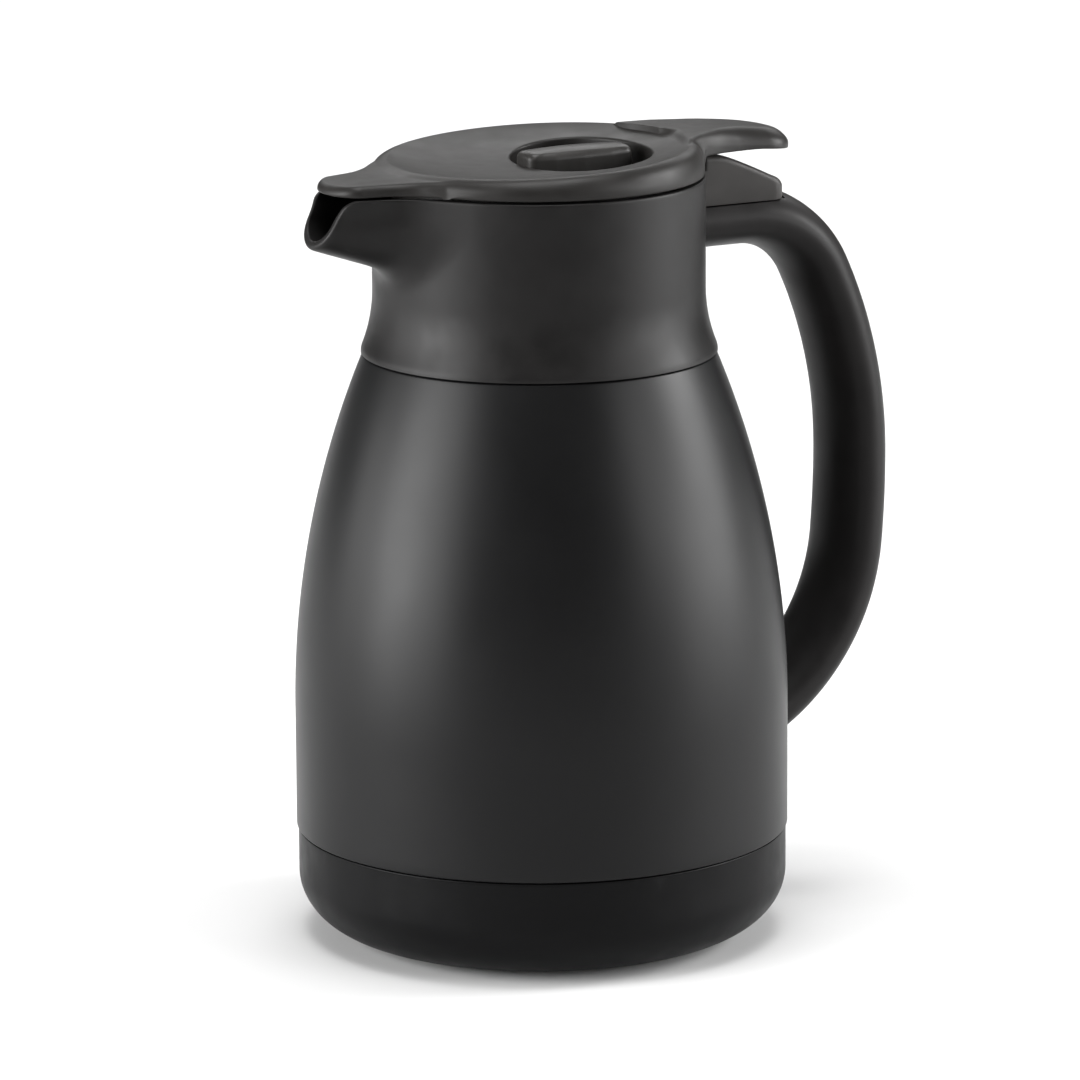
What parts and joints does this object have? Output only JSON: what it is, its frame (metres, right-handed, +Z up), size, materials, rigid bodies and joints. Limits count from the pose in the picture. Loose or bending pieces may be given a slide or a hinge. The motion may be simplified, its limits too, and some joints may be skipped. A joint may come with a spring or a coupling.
{
  "type": "thermal carafe",
  "caption": "Vacuum-insulated pouring carafe with a double-walled steel body, spouted collar, thumb-lever hinged lid, turn-knob lock and loop handle.",
  "frame": {"origin": "Centre of the flat foot pad, on the surface that the carafe stands on; Z is the vessel's axis.", "axes": "+Z up, handle on +X, pouring spout on -X, hinge pin and lock bolts along Y."},
  "size_m": [0.1854, 0.1404, 0.2281],
  "materials": {
    "body_steel": "satin dark metallic coat over steel",
    "bare_steel": "bare pressed steel",
    "solder": "dull solder bead",
    "flask_steel": "fine turned steel",
    "screw_steel": "plated steel",
    "pin_steel": "ground steel",
    "spring_steel": "drawn spring wire",
    "base_plastic": "fine matte grain",
    "pad_rubber": "soft matte",
    "collar_plastic": "fine matte grain",
    "handle_plastic": "fine matte grain",
    "hinge_plastic": "fine matte grain",
    "lid_plastic": "fine matte grain",
    "knob_plastic": "fine matte grain",
    "plug_plastic": "smooth matte",
    "slide_plastic": "natural acetal",
    "foam": "closed cell foam",
    "silicone": "translucent grey silicone"
  },
  "bodies": {
    "carafe": {"outer_shell": "body_steel", "shell_bottom": "bare_steel", "vacuum_seal": "solder", "inner_flask": "flask_steel", "getter": "bare_steel", "base_cap": "base_plastic", "foot_pad": "pad_rubber", "collar": "collar_plastic", "mouth_seal": "silicone", "handle": "handle_plastic", "handle_bracket": "bare_steel", "handle_screws": "screw_steel"},
    "lid_unit": {"hinge_block": "hinge_plastic", "hinge_pin": "pin_steel", "return_spring": "spring_steel"},
    "lid": {"lid_cover": "lid_plastic", "plug_body": "plug_plastic", "plug_gasket": "silicone", "plug_insulation": "foam", "bolt_retainer": "plug_plastic", "retainer_screws": "screw_steel"},
    "knob": {"lock_knob": "knob_plastic", "knob_seal": "silicone", "lock_cam": "slide_plastic", "cam_screw": "screw_steel"},
    "bolt_far": {"lock_bolt_far": "slide_plastic"},
    "bolt_near": {"lock_bolt_near": "slide_plastic"}
  },
  "joints": [
    {"name": "lid_lift", "type": "slide", "parent": "carafe", "child": "lid_unit", "axis": [0, 0, 1], "range_m": [0, 0.06]},
    {"name": "lid_hinge", "type": "hinge", "parent": "lid_unit", "child": "lid", "pos_m": [0.051, 0, 0.2176], "axis": [0, 1, 0], "range_deg": [0, 22], "stiffness_Nm_per_rad": 0.15, "springref_deg": -20.05},
    {"name": "knob_turn", "type": "hinge", "parent": "lid", "child": "knob", "pos_m": [0.0115, 0, 0.2172], "axis": [0, 0, 1], "range_deg": [0, 90]},
    {"name": "bolt_far_slide", "type": "slide", "parent": "lid", "child": "bolt_far", "axis": [0, 1, 0], "range_m": [0, 0.00265]},
    {"name": "bolt_near_slide", "type": "slide", "parent": "lid", "child": "bolt_near", "axis": [0, -1, 0], "range_m": [0, 0.00265]}
  ],
  "couplings": [
    {"joint": "bolt_far_slide", "follows": "knob_turn", "m_per_rad": 0.0016552},
    {"joint": "bolt_near_slide", "follows": "knob_turn", "m_per_rad": 0.0016552}
  ]
}
